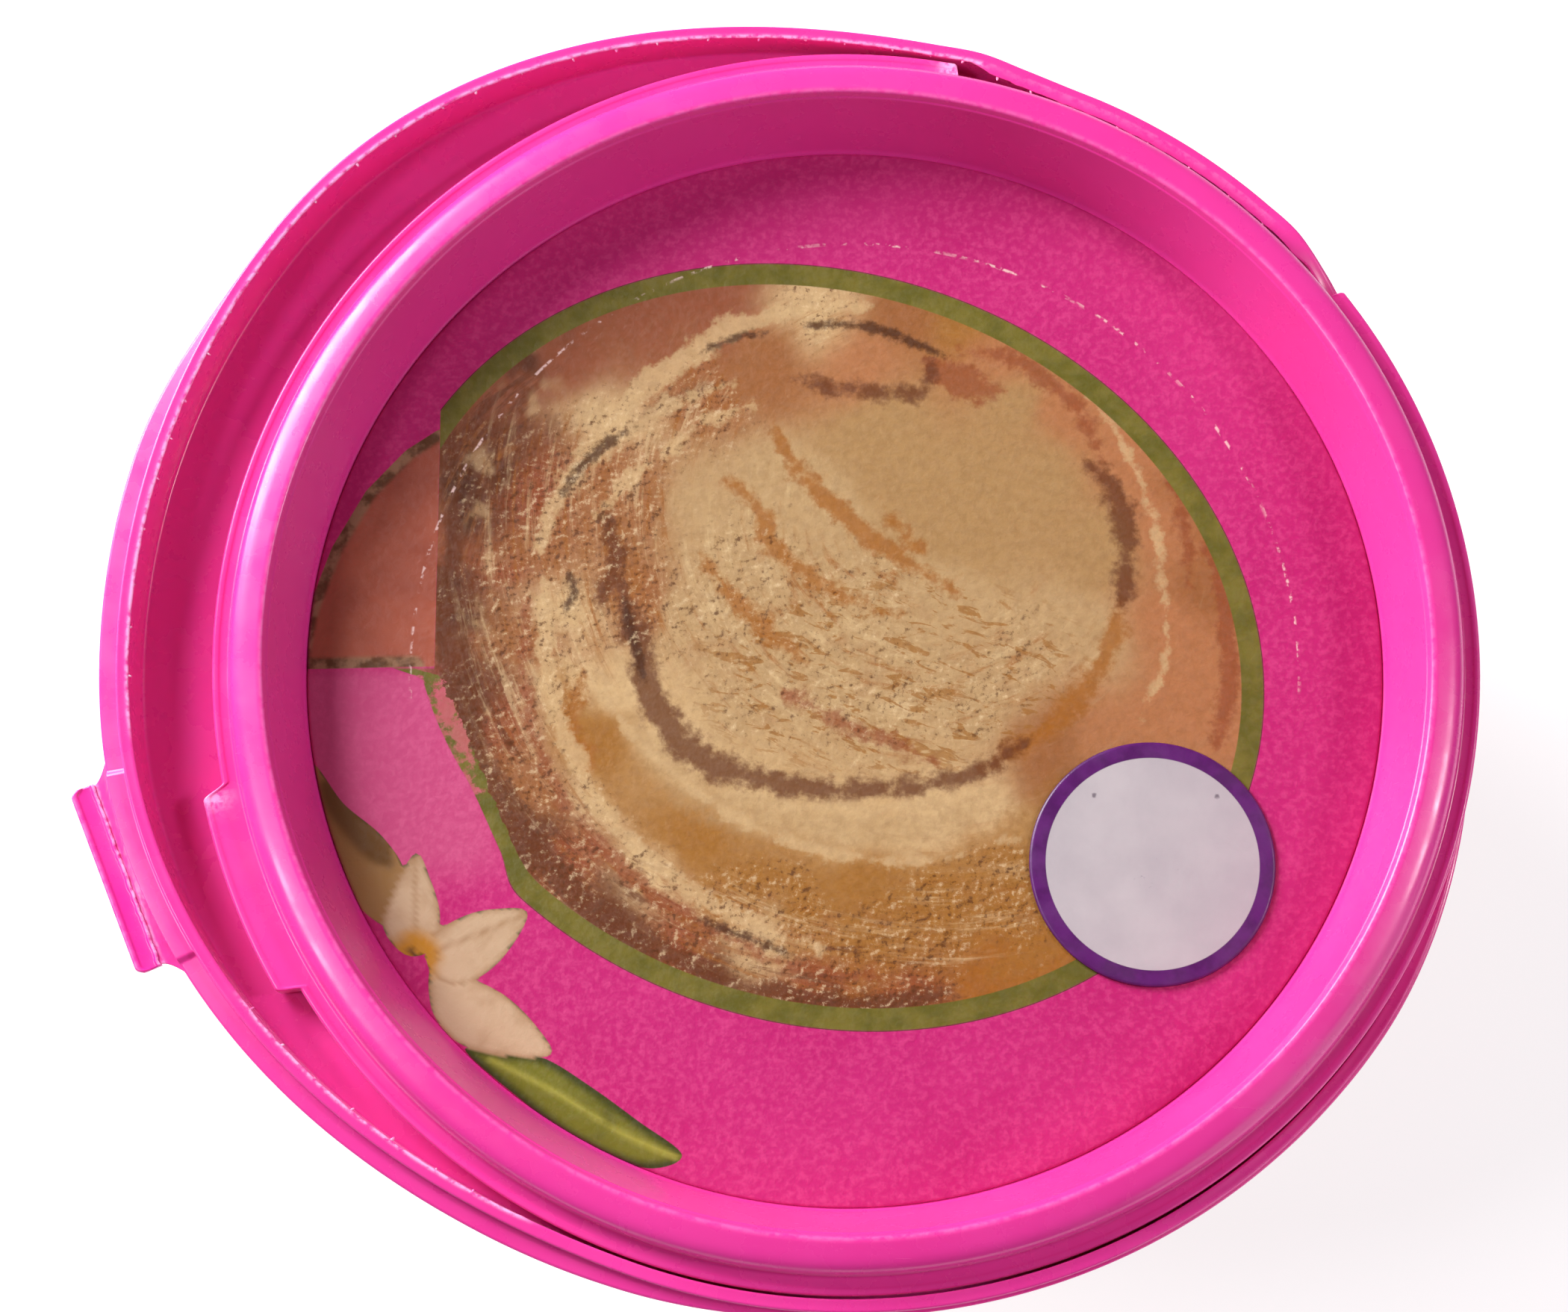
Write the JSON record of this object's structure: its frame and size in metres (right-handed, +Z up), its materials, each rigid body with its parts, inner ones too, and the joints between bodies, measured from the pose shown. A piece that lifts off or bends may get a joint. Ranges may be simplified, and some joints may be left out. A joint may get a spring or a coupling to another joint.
{
  "type": "round tub with lid",
  "caption": "Round tapered plastic tub with a drop-in lid, a sunken printed panel, and a loose tamper ring with a tear tab round the lid.",
  "frame": {"origin": "centre of the tub's flat base", "axes": "+Z up along the axis that the tub and the lid share; -X is the side where the ring bulges away from the lid; +Y away from the front, with the tear tab left of the front"},
  "size_m": [0.2095, 0.1975, 0.105],
  "materials": {
    "tub_plastic": "glossy pink polypropylene, faint moulding marks",
    "lid_plastic": "glossy pink polypropylene with whitened moulding edges",
    "ring_plastic": "glossy pink polypropylene, stress-whitened where it has torn",
    "label_print": "printed film with a fine pebbled skin",
    "badge_print": "printed seal, pale centre and purple border",
    "wrap_print": "printed film round the tub, satin"
  },
  "bodies": {
    "tub": {"tub_body": "tub_plastic", "tub_wrap_label": "wrap_print", "tamper_ring": "ring_plastic"},
    "lid": {"lid_shell": "lid_plastic", "lid_label": "label_print", "lid_badge": "badge_print"},
    "tab": {"tear_tab": "ring_plastic"}
  },
  "joints": [
    {"name": "lid_lift", "type": "slide", "parent": "tub", "child": "lid", "axis": [0, 0, 1], "range_m": [0, 0.05]},
    {"name": "tab_fold", "type": "hinge", "parent": "tub", "child": "tab", "pos_m": [-0.10552, -0.0343, 0.10194], "axis": [-0.3856, 0.9226, 0], "range_deg": [-40, 100], "stiffness_Nm_per_rad": 0.0002}
  ]
}
